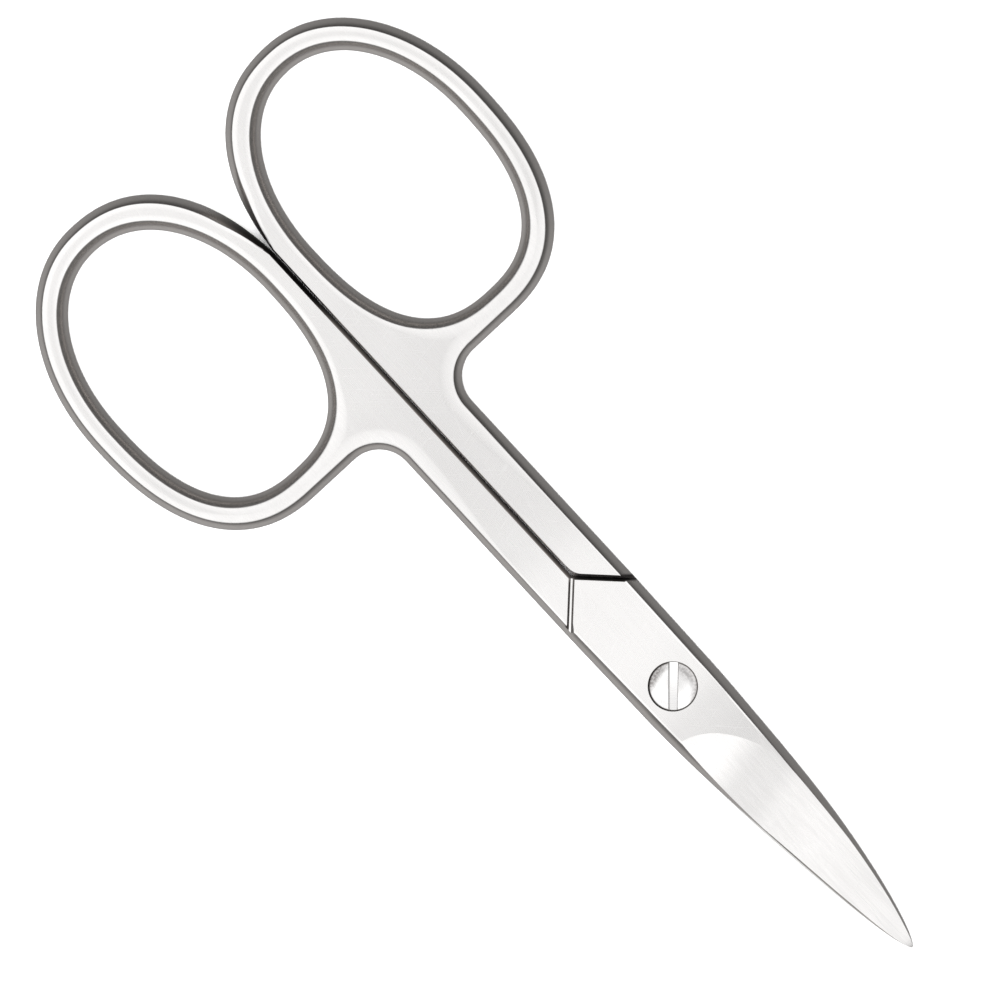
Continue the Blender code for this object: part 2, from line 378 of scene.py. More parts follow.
def block(name, grid):
    """A closed solid over a grid of places, each with its x, its y, its lowest and its highest z."""
    mesh = bmesh.new()
    last_row, last_column = len(grid) - 1, len(grid[0]) - 1
    low = [[mesh.verts.new((x, y, bottom)) for x, y, bottom, _ in row] for row in grid]
    high = [[mesh.verts.new((x, y, top)) for x, y, _, top in row] for row in grid]
    for layer in (low, high):
        for i in range(last_row):
            for j in range(last_column):
                mesh.faces.new((layer[i][j], layer[i][j + 1], layer[i + 1][j + 1], layer[i + 1][j]))
    rim = [(0, j) for j in range(last_column)]
    rim += [(i, last_column) for i in range(last_row)]
    rim += [(last_row, j) for j in range(last_column, 0, -1)]
    rim += [(i, 0) for i in range(last_row, 0, -1)]
    for (i, j), (m, n) in zip(rim, rim[1:] + rim[:1]):
        mesh.faces.new((low[i][j], low[m][n], high[m][n], high[i][j]))
    return new_object(name, mesh)


def turned(name, profile):
    """A round solid about the screw's axis. Its profile of radii and heights starts and ends on it."""
    loops = []
    for radius, height in profile:
        if radius == 0:
            loops.append([(0, 0, height)])
            continue
        turns = [math.tau * k / screw_points for k in range(screw_points)]
        loops.append([(radius * math.cos(a), radius * math.sin(a), height) for a in turns])
    return skinned(name, loops)


def carve(target, cutters):
    """Takes the cutters out of the target for good and removes them."""
    for cutter in cutters:
        modifier = target.modifiers.new(cutter.name, "BOOLEAN")
        modifier.operation = "DIFFERENCE"
        modifier.solver = "EXACT"
        modifier.object = cutter
    bpy.context.view_layer.update()
    graph = bpy.context.evaluated_depsgraph_get()
    carved = bpy.data.meshes.new_from_object(target.evaluated_get(graph))
    if len(carved.polygons) < len(target.data.polygons) / 2:
        raise RuntimeError(f"too little is left of {target.name}")
    target.modifiers.clear()
    target.data = carved
    for cutter in cutters:
        bpy.data.objects.remove(cutter)


def smooth(piece):
    """Smooth shading with crisp creases, and normals that keep the flat faces flat."""
    piece.data.shade_smooth()
    piece.data.set_sharp_from_angle(angle=crease_angle)
    weighted = piece.modifiers.new("flat_faces", "WEIGHTED_NORMAL")
    weighted.keep_sharp = True
    weighted.weight = 100


# ---- Outline of a half


def oval_point(centre, half_length, half_width, power, turn):
    """A point of an oval that the power makes squarer the more it is over two."""
    along, across = math.cos(turn), math.sin(turn)
    x = centre.x + half_length * math.copysign(abs(along) ** (2 / power), along)
    return Vector((x, centre.y + half_width * math.copysign(abs(across) ** (2 / power), across)))


def blade_half_width(s, x):
    """Widest over the screw, then one long curve to a fine point."""
    blade = s.blade
    return blade.joint_width / 2 * max(1 - (x / blade.tip_reach) ** blade.taper, 0) ** blade.end


def ring_outline(s):
    """The outer oval from the seam round the back and the side to the front of the ring."""
    ring = s.ring
    half_length, half_width = ring.outer_length / 2, ring.outer_width / 2
    centre = Vector((half_length - ring.back_reach, -half_width))
    leaves_seam = math.asin((1 - s.stock.seam_gap / 2 / half_width) ** (ring.crotch / 2))
    quarters = (
        (ring.crotch, math.pi - leaves_seam, math.pi),
        (ring.outer_back, math.pi, 3 * math.pi / 2),
        (ring.outer_front, 3 * math.pi / 2, math.tau),
    )
    points = []
    for power, start, end in quarters:
        for turn in spaced(start, end, ring_points):
            points.append(oval_point(centre, half_length, half_width, power, turn))
    return points


def neck_outline(s):
    """The hollow corner between the front of the ring and the outer side of the shank."""
    ring, fillet = s.ring, s.ring.neck_fillet
    ring_front = ring.outer_length - ring.back_reach
    centre = Vector((ring_front + fillet, -s.joint.shank_width / 2 - fillet))
    turns = spaced(math.pi, math.pi / 2, fillet_points)
    return [centre + fillet * Vector((math.cos(a), math.sin(a))) for a in turns]


def crowned(s, width):
    """The width of a crowned border, and how far it falls by the flank."""
    return width, s.ring.rim_slope * width / rim_power


def half_outline(s):
    """The plan of a half, counter-clockwise: each point with its flank, its border and that one's fall."""
    stock, ring, flank, joint, blade = s.stock, s.ring, s.flank, s.joint, s.blade
    half_seam, shank_side, soft = stock.seam_gap / 2, joint.shank_width / 2, stock.seam_break
    ring_front = ring.outer_length - ring.back_reach
    start = Vector((tongue_apex(s) - half_seam, -half_seam))
    outline = [(start, flank.mating, soft, soft)]
    for point in ring_outline(s):
        grown = math.sqrt(min(max(-point.y - half_seam, 0) / flank.crotch_depth, 1))
        front = eased(point.x, ring_front - yoke_share * ring.outer_length, ring_front)
        rim, fall = crowned(s, between(ring.rim_width, ring.neck_rim_width, front))
        side = between(flank.mating, flank.ring, grown)
        outline.append((point, side, between(soft, rim, grown), between(soft, fall, grown)))
    neck = neck_outline(s)
    outline += [(point, flank.shank, *crowned(s, ring.neck_rim_width)) for point in neck]
    corner = Vector((tongue_corner(s), -shank_side))
    for along in spaced(0, 1, fillet_points)[1:]:
        rim = between(ring.neck_rim_width, flank.shank_rim, eased(along, 0, shank_blend_share))
        side = flank.shank if along < 1 else flank.edge
        outline.append((neck[-1].lerp(corner, along), side, *crowned(s, rim)))
    stations = [blade.tip_reach * (1 - left**blade.tip_crowding) for left in spaced(1, 0, blade_points)]
    widths = [blade_half_width(s, x) for x in stations]
    for x, width, next_width in zip(stations, widths, widths[1:]):
        side = min(flank.edge, blade.tip_flank * next_width)
        rim = min(flank.shank_rim, narrow_rim_share * next_width)
        outline.append((Vector((x, -width)), side, *crowned(s, rim)))
    for x, width in zip(reversed(stations), reversed(widths)):
        side = between(flank.spine, flank.spine_joint, max(1 - x / blade.arc_end, 0))
        side += (flank.spine_tip - flank.spine) * eased(x, blade.arc_end, blade.grind_full)
        side = min(side, blade.tip_spine * width)
        rim = min(flank.shank_rim, narrow_rim_share * width)
        outline.append((Vector((x, width)), side, *crowned(s, rim)))
    outline.append((Vector((tongue_corner(s), shank_side)), flank.mating, soft, soft))
    return without_repeats(outline)


def without_repeats(outline):
    """The outline without points that lie on the one before."""
    kept = []
    for step in outline:
        if not kept or (step[0] - kept[-1][0]).length > least_gap:
            kept.append(step)
    return kept


def hole_outline(s):
    """The finger hole's oval, with flanks that stand into the hole."""
    ring = s.ring
    half_length = (ring.outer_length - ring.back_wall - ring.front_wall) / 2
    half_width = (ring.outer_width - ring.side_wall - ring.seam_wall) / 2
    centre_x = ring.back_wall + half_length - ring.back_reach
    centre = Vector((centre_x, ring.side_wall + half_width - ring.outer_width))
    outline = []
    for quarter, power in enumerate((ring.hole_front, ring.hole_back, ring.hole_back, ring.hole_front)):
        start = quarter * math.pi / 2
        for turn in spaced(start, start + math.pi / 2, ring_points)[:-1]:
            point = oval_point(centre, half_length, half_width, power, turn)
            front = eased((point.x - centre.x) / half_length, *hole_yoke_shares)
            rim, fall = crowned(s, between(ring.rim_width, ring.neck_rim_width, front))
            outline.append((point, -s.flank.hole, -rim, fall))
    return outline


def set_in(s, outline, flank_share, rim_share):
    """The outline with each side moved in by these shares of its flank and rim, corners mitred."""
    moved = []
    for k, (point, flank, rim, _) in enumerate(outline):
        before, flank_before, rim_before, _ = outline[k - 1]
        after = outline[(k + 1) % len(outline)][0]
        inset = flank_share * flank + rim_share * rim
        inset_before = flank_share * flank_before + rim_share * rim_before
        inward = (point - before).orthogonal().normalized()
        inward_next = (after - point).orthogonal().normalized()
        turn = inward.cross(inward_next)
        if abs(turn) > math.sin(s.joint.shoulder_angle / 2):
            step = (inward_next.orthogonal() * -inset_before + inward.orthogonal() * inset) / turn
        else:
            step = (inward + inward_next).normalized() * (inset_before + inset) / 2
        moved.append(point + step)
    return moved


def section_rows(s):
    """The section from the middle up: shares of flank and border, height and share of the fall."""
    middle = middle_height(s)
    last_lift = 1 - s.stock.edge_break / middle

    def flank_row(lift):
        return (lift**2, 0, middle + middle * lift, lift)

    def rim_row(across):
        return (1, across, 2 * middle, (1 - across) ** rim_power)

    rows = [flank_row(lift) for lift in spaced(0, last_lift, flank_rows)]
    before, corner, after = rows[-1], flank_row(1), rim_row(rim_shares[0])
    for t in spaced(0, 1, corner_rows)[1:-1]:
        weights = ((1 - t) ** 2, 2 * t * (1 - t), t**2)
        rows.append(tuple(sum(map(mul, weights, parts)) for parts in zip(before, corner, after)))
    return rows + [rim_row(across) for across in rim_shares]


def flanked_loops(s, outline, past=0):
    """Loops of the outline from the underside to the top, or a little past both."""
    thickness = s.stock.thickness
    rows = section_rows(s)
    if past:
        rows.append((1, 1, thickness + past, 0))
    under = [(flank, rim, thickness - height, -share) for flank, rim, height, share in reversed(rows[1:])]
    loops = []
    for flank_share, rim_share, height, fall_share in under + rows:
        plan = set_in(s, outline, flank_share, rim_share)
        loops.append([(p.x, p.y, height - fall_share * step[3]) for p, step in zip(plan, outline)])
    return loops


# ---- Cutters of a half


def lap_cutter(s):
    """Clears the other half's layer: all that lies ahead of the shoulder below the middle."""
    stock, joint = s.stock, s.joint
    slope = joint.shoulder_angle
    reach = joint.shank_width / 2 + overrun
    apex, tip = shoulder_apex(s), s.blade.tip_reach + overrun
    half_seam = stock.seam_gap / 2
    inset = s.flank.mating + stock.seam_break
    radius = joint.shoulder_round
    lead_in = lead_in_share * inset
    arc_start = apex + (half_seam + inset) / math.tan(slope) - radius * math.tan(slope / 2)
    centre = Vector((arc_start, -half_seam - inset - radius))
    plan = [(arc_start - lead_in, reach)]
    for along in spaced(0, 1, round_points)[:-1]:
        plan.append((arc_start - lead_in * (1 - along), -half_seam - inset * eased(along, 0, 1)))
    for turn in spaced(math.pi / 2, math.pi / 2 - slope, round_points):
        plan.append((centre.x + radius * math.cos(turn), centre.y + radius * math.sin(turn)))
    plan += [(apex + reach / math.tan(slope), -reach), (tip, -reach), (tip, reach)]
    soft, top = stock.edge_break, middle_height(s) + stock.lap_gap / 2
    loops = []
    for height, outset in ((-overrun, soft), (0, soft), (soft, 0), (top, 0)):
        loops.append([(x - outset if x < tip else x, y, height) for x, y in plan])
    return skinned("lap", loops)


def grind_lines(s):
    """The grind's lines from edge to spine: place in half widths, shift past it, and start."""
    blade = s.blade
    grown = 1 + 2 * blade.grind_margin / blade.joint_width
    shifts = (-overrun, -blade.grind_margin, 0, blade.bevel_width)
    lines = [(-1, shift, blade.grind_start) for shift in shifts]
    for turn in spaced(0, math.pi / 2, grind_rows):
        across = math.sin(turn) ** (2 / blade.grind_curve)
        back = math.cos(turn) ** (2 / blade.grind_curve)
        side = blade.grind_edge + (blade.grind_spine - blade.grind_edge) * across
        lines.append((side * grown, 0, blade.arc_end - (blade.arc_end - blade.grind_start) * back))
    return lines + [(1, shift, blade.arc_end) for shift in (0, blade.grind_margin, overrun)]


def grind_cutter(s):
    """The wheel's path over the outer face: a curved start, a ramp, then a wedge to the tip."""
    blade, thickness = s.blade, s.stock.thickness
    stock = middle_height(s) - s.stock.lap_gap / 2
    edge_drop = stock - blade.edge_thickness
    last_full = max(blade.grind_full, blade.arc_end + blade.least_ramp)
    shared_stations = spaced(last_full, blade.tip_reach + overrun, blade_steps)[1:]
    grid = []
    for side, shift, start in grind_lines(s):
        full = max(blade.grind_full, start + blade.least_ramp)
        row = []
        for x in spaced(start, last_full, ramp_steps) + shared_stations:
            width = max(blade_half_width(s, min(x, blade.tip_reach)), least_gap)
            inside = 0 < shift < blade.grind_margin
            y = side * width + (min(shift, widest_bevel_share * width) if inside else shift)
            across = y / (width + blade.grind_margin)
            ramp = min((x - start) / (full - start), 1)
            taper = max((x - blade.spine_start) / (blade.tip_reach - blade.spine_start), 0)
            spine_drop = (stock - blade.tip_thickness) * taper
            drop = spine_drop + (edge_drop - spine_drop) * (1 - across) / 2
            bevel = blade.bevel_width if side == -1 and not inside else 0
            drop = (drop + bevel) * (1 - (1 - ramp) ** blade.ramp_ease)
            row.append((x, y, thickness - drop + least_gap * (1 - ramp), thickness + overrun))
        grid.append(row)
    return block("grind", grid)


def hollow_cutter(s):
    """A shallow dish along the inner face that leaves a land at the edge, the spine and the tip."""
    blade = s.blade
    inner_face = middle_height(s) + s.stock.lap_gap / 2
    dish_end = blade.tip_reach - blade.hollow_land
    dish_middle = (blade.hollow_start + dish_end) / 2
    dish_reach = (dish_end - blade.hollow_start) / 2
    past = blade.hollow_past
    grid = []
    for side in spaced(-past, past, hollow_rows):
        row = []
        for along in spaced(-past, past, hollow_steps):
            x = min(dish_middle + along * dish_reach, blade.tip_reach)
            y = side * blade.hollow_width * max(blade_half_width(s, x), least_gap)
            rise = blade.hollow_depth * (1 - side**2 - abs(along) ** blade.hollow_end)
            row.append((x, y, inner_face - overrun, inner_face + rise))
        grid.append(row)
    return block("hollow", grid)


def mark_cutter(s):
    """The line pressed in the face above the edge of the other half's tongue, deeper down the side."""
    joint, flank, thickness = s.joint, s.flank, s.stock.thickness
    along = Vector((math.cos(joint.shoulder_angle), -math.sin(joint.shoulder_angle)))
    across = along.orthogonal()
    side = Vector((tongue_corner(s), -joint.shank_width / 2))
    face_end = side - along * (flank.edge + flank.shank_rim) / math.sin(joint.shoulder_angle)
    narrow = joint.mark_floor / 2
    slope = (joint.mark_width / 2 - narrow) / joint.mark_depth
    loops = []
    for place, depth in (
        (Vector((tongue_apex(s), 0)) - along * overrun, joint.mark_depth),
        (face_end, joint.mark_depth),
        (side + along * overrun, joint.mark_end_depth),
    ):
        wide = narrow + slope * (depth + overrun)
        corners = (
            (place - across * narrow, thickness - depth),
            (place - across * wide, thickness + overrun),
            (place + across * wide, thickness + overrun),
            (place + across * narrow, thickness - depth),
        )
        loops.append([(p.x, p.y, height) for p, height in corners])
    return skinned("mark", loops)


def seat_cutter(s):
    """The clear bore for the screw, and the countersink that its head lies in."""
    screw, thickness = s.screw, s.stock.thickness
    bore = screw.diameter / 2 + screw.seat_clearance
    rim = screw.head_diameter / 2 + screw.seat_clearance
    wide = rim + screw.seat_break
    profile = [(0, -overrun), (bore, -overrun), (bore, cone_bottom(s)), (rim, cone_top(s))]
    profile += [(rim, thickness - screw.seat_break), (wide, thickness)]
    profile += [(wide, thickness + overrun), (0, thickness + overrun)]
    return turned("seat", profile)


def thread_cutter(s):
    """The threaded bore, at the thread's outer diameter."""
    bore = s.screw.diameter / 2 + s.screw.thread_clearance
    low, high = -overrun, s.stock.thickness + overrun
    return turned("thread", ((0, low), (bore, low), (bore, high), (0, high)))


def dome_height(s, radius):
    """Height of the head's top at this radius: a low dome that rounds off to its rim."""
    screw, rim = s.screw, rim_height(s)
    round_start = screw.head_diameter / 2 - screw.rim_round
    shoulder = between(rim, screw.dome_top, dome_shoulder_share)
    if radius < round_start:
        return screw.dome_top - (screw.dome_top - shoulder) * (radius / round_start) ** 2
    across = min((radius - round_start) / screw.rim_round, 1)
    return rim + (shoulder - rim) * math.sqrt(1 - across**2)


def slot_cutter(s):
    """A slot with softened edges that a saw cut, so that its floor is curved along its length."""
    screw = s.screw
    radius, side, soft = screw.head_diameter / 2, screw.slot_width / 2, screw.slot_break
    top = screw.dome_top + overrun
    turn = Matrix.Rotation(screw.slot_angle, 2)
    loops = []
    for along in spaced(-radius - overrun, radius + overrun, slot_steps):
        floor = screw.dome_top - screw.slot_depth + (along - screw.slot_low) ** 2 / (2 * screw.saw_radius)
        edge = dome_height(s, math.hypot(along, side))
        far_side = side - screw.slot_taper * along / radius
        section = (
            (screw.slot_lean - side, floor),
            (far_side - screw.slot_lean, floor),
            (far_side, edge - soft),
            (far_side + 2 * soft, edge + soft),
            (far_side + 2 * soft, top),
            (-side - 2 * soft, top),
            (-side - 2 * soft, edge + soft),
            (-side, edge - soft),
        )
        places = [(turn @ Vector((along, across)), height) for across, height in section]
        loops.append([(place.x, place.y, height) for place, height in places])
    return skinned("slot", loops)


# ---- Pieces


def blade_sway(s, x, sway):
    """How far a blade lies off the long axis: out by sway in its middle, back at the tip."""
    blade = s.blade
    out = eased(x, blade.grind_start, blade.sway_reach)
    back = max((x - blade.sway_reach) / (blade.tip_reach - blade.sway_reach), 0) ** sway_power
    return sway * out - (sway + blade.tip_sway) * back


def turn_over(s):
    """Turns a half over about the long axis, at the height of its middle."""
    return Matrix.Translation((0, 0, s.stock.thickness)) @ Matrix.Rotation(math.pi, 4, "X")


def make_half(s, name, bore_cutter, placing, sway):
    """A half carved from the blank, put in its place and smoothed."""
    half = skinned(name, flanked_loops(s, half_outline(s)))
    cutters = [
        skinned("finger_hole", flanked_loops(s, hole_outline(s), overrun)),
        lap_cutter(s),
        grind_cutter(s),
        hollow_cutter(s),
        mark_cutter(s),
        bore_cutter(s),
    ]
    carve(half, cutters)
    half.data.transform(placing)
    for vertex in half.data.vertices:
        vertex.co.y += blade_sway(s, vertex.co.x, sway)
    smooth(half)
    return half


def dressed(piece, material):
    """The piece in this material alone."""
    piece.data.materials.clear()
    piece.data.materials.append(material)
    return piece


def make_screw(s, name):
    """The screw, turned from its profile and slotted."""
    screw = s.screw
    radius, head = screw.diameter / 2, screw.head_diameter / 2
    round_start = head - screw.rim_round
    profile = [(0, 0), (radius - screw.end_chamfer, 0), (radius, screw.end_chamfer)]
    profile += [(radius, cone_bottom(s)), (head, cone_top(s)), (head, rim_height(s))]
    turns = spaced(0, math.pi / 2, corner_rows + 2)[1:]
    rings = [round_start + screw.rim_round * math.cos(a) for a in turns]
    rings += spaced(round_start, 0, dome_rows)[1:]
    profile += [(ring, dome_height(s, ring)) for ring in rings]
    made = turned(name, profile)
    carve(made, [slot_cutter(s)])
    play = screw.head_play * Vector((math.cos(screw.play_angle), math.sin(screw.play_angle), 0))
    made.data.transform(Matrix.Translation(play))
    smooth(made)
    return made


# ---- Shader values


class Value:
    """What a shader socket gives. Arithmetic on it adds maths nodes to its tree."""

    def __init__(self, socket):
        self.socket = socket
        self.tree = socket.id_data

    def __add__(self, other):
        return maths("ADD", self, other)

    def __sub__(self, other):
        return maths("SUBTRACT", self, other)

    def __rsub__(self, other):
        return maths("SUBTRACT", other, self)

    def __mul__(self, other):
        return maths("MULTIPLY", self, other)

    def __rtruediv__(self, other):
        return maths("DIVIDE", other, self)

    def __abs__(self):
        return maths("ABSOLUTE", self)


def tree_of(*sources):
    """The node tree that the first shader value among these belongs to."""
    return next(source.tree for source in sources if isinstance(source, Value))


def plug(socket, source):
    """Gives a socket a shader value or a plain one."""
    if isinstance(source, Value):
        source.tree.links.new(source.socket, socket)
    else:
        socket.default_value = source


def new_node(tree, kind, sources=(), **settings):
    """A node with these settings and, by name or number, these input sources."""
    made = tree.nodes.new(kind)
    for key, value in settings.items():
        setattr(made, key, value)
    for key, source in dict(sources).items():
        plug(made.inputs[key], source)
    return made


def wired(tree, kind, sources=(), output=0, **settings):
    """The shader value that a new node gives."""
    return Value(new_node(tree, kind, sources, **settings).outputs[output])


def maths(operation, *sources):
    return wired(tree_of(*sources), "ShaderNodeMath", enumerate(sources), operation=operation)


def most(first, second):
    return maths("MAXIMUM", first, second)


def vector_maths(operation, output, *sources):
    """A vector maths node's output, by name or number."""
    kind = "ShaderNodeVectorMath"
    return wired(tree_of(*sources), kind, enumerate(sources), output, operation=operation)


def remapped(value, low, high, new_low=0.0, new_high=1.0):
    """The value eased from one range to another, and held at its ends."""
    sources = enumerate((value, low, high, new_low, new_high))
    return wired(value.tree, "ShaderNodeMapRange", sources, interpolation_type="SMOOTHSTEP")


def read_off(value, stops):
    """A smooth curve through these (place, level) stops."""
    low, high = stops[0][0], stops[-1][0]
    greatest = max(level for place, level in stops)
    spread = wired(value.tree, "ShaderNodeMapRange", {0: value, 1: low, 2: high})
    ramp = new_node(value.tree, "ShaderNodeValToRGB", {0: spread})
    ramp.color_ramp.interpolation = "EASE"
    elements = ramp.color_ramp.elements
    while len(elements) < len(stops):
        elements.new(0.5)
    for element, (place, level) in zip(elements, stops):
        element.position = (place - low) / (high - low)
        element.color = (*[level / greatest] * 3, 1)
    return Value(ramp.outputs["Color"]) * greatest


def mixed(factor, first, second, blend="MIX"):
    """The first colour with this much of the second."""
    colours = [c if isinstance(c, Value) else (*c, 1) for c in (first, second)]
    sources = {0: factor, 6: colours[0], 7: colours[1]}
    tree = tree_of(factor, first, second)
    return wired(tree, "ShaderNodeMix", sources, 2, data_type="RGBA", blend_type=blend)


def grey(value):
    """The grey of this brightness."""
    return wired(value.tree, "ShaderNodeCombineColor", {0: value, 1: value, 2: value})


def toned(colour, value):
    """The colour, darker or brighter by this value."""
    return mixed(1.0, colour, grey(value), "MULTIPLY")


def bumped(height, strength, distance):
    """The normal of a face with this relief."""
    sources = {"Height": height, "Strength": strength, "Distance": distance}
    return wired(height.tree, "ShaderNodeBump", sources)


def texture_place(tree, kind="Object"):
    """The texture coordinates of this kind."""
    return wired(tree, "ShaderNodeTexCoord", output=kind)


def place_parts(tree, kind="Object"):
    """The X, Y and Z of a texture place."""
    parts = new_node(tree, "ShaderNodeSeparateXYZ", {0: texture_place(tree, kind)})
    return [Value(part) for part in parts.outputs]


def stretched_noise(vector, along, across, detail):
    """Noise drawn out along X: along and across are the sizes of its marks."""
    sources = {"X": 1.0 / along, "Y": 1.0 / across, "Z": 1.0 / across}
    stretch = wired(vector.tree, "ShaderNodeCombineXYZ", sources)
    place = vector_maths("MULTIPLY", 0, vector, stretch)
    sources = {"Vector": place, "Scale": 1.0, "Detail": detail}
    return wired(vector.tree, "ShaderNodeTexNoise", sources, "Fac")


# ---- Effects, each one shader node group that the materials share


def spoken(key):
    """A name as the panel and the groups show it."""
    return key.replace("_", " ").capitalize()


def effect(**inputs):
    """Turns a function of shader values into a node group, which is built once and then placed."""

    def shared(wire):
        def build():
            group = bpy.data.node_groups.new(wire.__name__, "ShaderNodeTree")
            for key, default in inputs.items():
                made = group.interface.new_socket(spoken(key), in_out="INPUT", socket_type="NodeSocketFloat")
                made.default_value = default
            given = new_node(group, "NodeGroupInput").outputs
            results = wire(group, **{key: Value(given[spoken(key)]) for key in inputs})
            for key in results:
                group.interface.new_socket(key, in_out="OUTPUT", socket_type="NodeSocketFloat")
            new_node(group, "NodeGroupOutput", results)
            return group

        def place(tree, **values):
            group = bpy.data.node_groups.get(wire.__name__) or build()
            sources = {spoken(key): value for key, value in values.items()}
            placed = new_node(tree, "ShaderNodeGroup", sources, node_tree=group)
            return {output.name: Value(output) for output in placed.outputs}

        return place

    return shared


@effect(length=0.004, width=0.00006, broad_share=0.4)
def grinding_grain(tree, length, width, broad_share):
    """Lengthwise grinding marks, fine ones over broad ones, as a value about one half."""
    place = texture_place(tree)
    fine = stretched_noise(place, length, width, 3.0)
    broad = stretched_noise(place, length * 2.5, width * 6.0, 2.0)
    total = fine * (1.0 - broad_share) + broad * broad_share
    return {"Grain": remapped(total, 0.3, 0.7), "Height": total}


@effect(size=0.006, fineness=0.01)
def handling_scratches(tree, size, fineness):
    """Sparse hair-fine scratches from handling, as a mask."""
    lines = 0.0
    for turn in (0.35, -0.8, 1.3):
        sources = {"Vector": texture_place(tree), "Angle": turn}
        place = wired(tree, "ShaderNodeVectorRotate", sources, rotation_type="Z_AXIS")
        noise = stretched_noise(place, size, size * 0.03, 0.0)
        lines = most(lines, remapped(abs(noise - 0.62), 0.0, fineness, 1.0, 0.0))
    return {"Scratches": lines}


@effect(flank=0.72, face=0.90)
def ground_faces(tree, flank, face):
    """Tells the flat ground faces from the rounded flanks by the way they look."""
    up = abs(place_parts(tree, "Normal")[2])
    return {"Face": remapped(up, flank, face)}


@effect(radius=0.00008, reach=0.0005)
def edge_wear_and_gap_shade(tree, radius, reach):
    """Where edges are rubbed bright, and painted shade where ambient occlusion finds gaps."""
    rounded = wired(tree, "ShaderNodeBevel", {"Radius": radius}, samples=6)
    normal = wired(tree, "ShaderNodeNewGeometry", output="Normal")
    facing = vector_maths("DOT_PRODUCT", "Value", rounded, normal)
    # Ambient occlusion, which becomes painted shade in gaps and crevices above the table
    shade = wired(tree, "ShaderNodeAmbientOcclusion", {"Distance": reach}, "AO", samples=8)
    off_table = remapped(place_parts(tree)[2], 0.0002, 0.0008)
    return {"Edge": remapped(facing, 0.995, 0.90), "Gap": remapped(shade, 0.52, 0.18) * off_table}


@effect(face=0.0, apex_reach=0.0124, middle=0.0015, near=0.00020, far=0.00050)
def joint_painted_shade(tree, face, apex_reach, middle, near, far):
    """Painted shade along the seam and the V, on walls and below the faces, deeper along the V and beside the
    rings.
    """
    x, y, z = place_parts(tree)
    ahead = most(x + apex_reach, 0.0)
    off = abs(abs(y) - ahead)
    behind = remapped(x, -0.040, -0.044)
    close = remapped(off, near, behind * 0.0014 + far, 1.0, 0.0)
    from_middle = abs(z - middle)
    deep = remapped(from_middle, 0.0009, 0.0012, 1.0, 0.0)
    on_walls = close * most(deep, 1.0 - face)
    on_lap = remapped(off, 0.0004, 0.0007, 1.0, 0.0) * deep * face
    # On the pressed line's side the gap opens under the face, where its walls get no painted shade
    mark_side = maths("LESS_THAN", y * (z - middle), 0.0) * maths("GREATER_THAN", ahead, 0.0003)
    unshaded = mark_side * remapped(from_middle, 0.00124, 0.00134, 1.0, 0.0)
    painted_shade_mask = most(on_walls * (1.0 - unshaded), on_lap)
    return {"Painted_shade": painted_shade_mask, "Deep_shade": most(behind, remapped(ahead, 0.0, 0.0005))}


@effect(middle=0.0015, patch_size=0.006)
def painted_reflection_tone(tree, middle, patch_size):
    """Painted light and shade that stand in for the reflections along the flat faces and the ground blade,
    rings to tips, with faint random blotches.
    """
    x, y, z = place_parts(tree)
    # Painted reflection: brighter and darker bands along the faces, read along x
    flat_stops = (
        (-0.0600, 1.02), (-0.0480, 1.00), (-0.0380, 0.97), (-0.0300, 0.93), (-0.0230, 0.91), (-0.0170, 0.95),
        (-0.0120, 1.07), (-0.0040, 1.11), (0.0, 1.06), (0.0035, 0.93), (0.0065, 0.85), (0.0120, 0.89),
    )
    ground_stops = (
        (0.0030, 1.10), (0.0062, 1.10), (0.0095, 0.82), (0.0112, 0.82), (0.0135, 0.91), (0.0170, 0.94),
        (0.0220, 0.91), (0.0265, 0.92), (0.0290, 1.05),
    )
    sunk = middle - abs(z - middle)
    on_ground = remapped(sunk, 0.0000005, 0.000004) * remapped(x, 0.0030, 0.0040)
    levels = {0: on_ground, 2: read_off(x, flat_stops), 3: read_off(y * 0.2 + x, ground_stops)}
    patches = stretched_noise(texture_place(tree), patch_size, patch_size, 1.0)
    blotch = remapped(patches, 0.3, 0.7, 0.985, 1.015)
    return {"Reflection_tone": wired(tree, "ShaderNodeMix", levels) * blotch, "Ground": on_ground}


# ---- Materials


def new_material(name, wire, *looks):
    """A material whose Principled shader gets the sources that wire(tree, looks) returns."""
    material = bpy.data.materials.new(name)
    material.use_nodes = True
    tree = material.node_tree
    for key, source in wire(tree, *looks).items():
        plug(tree.nodes["Principled BSDF"].inputs[key], source)
    return material


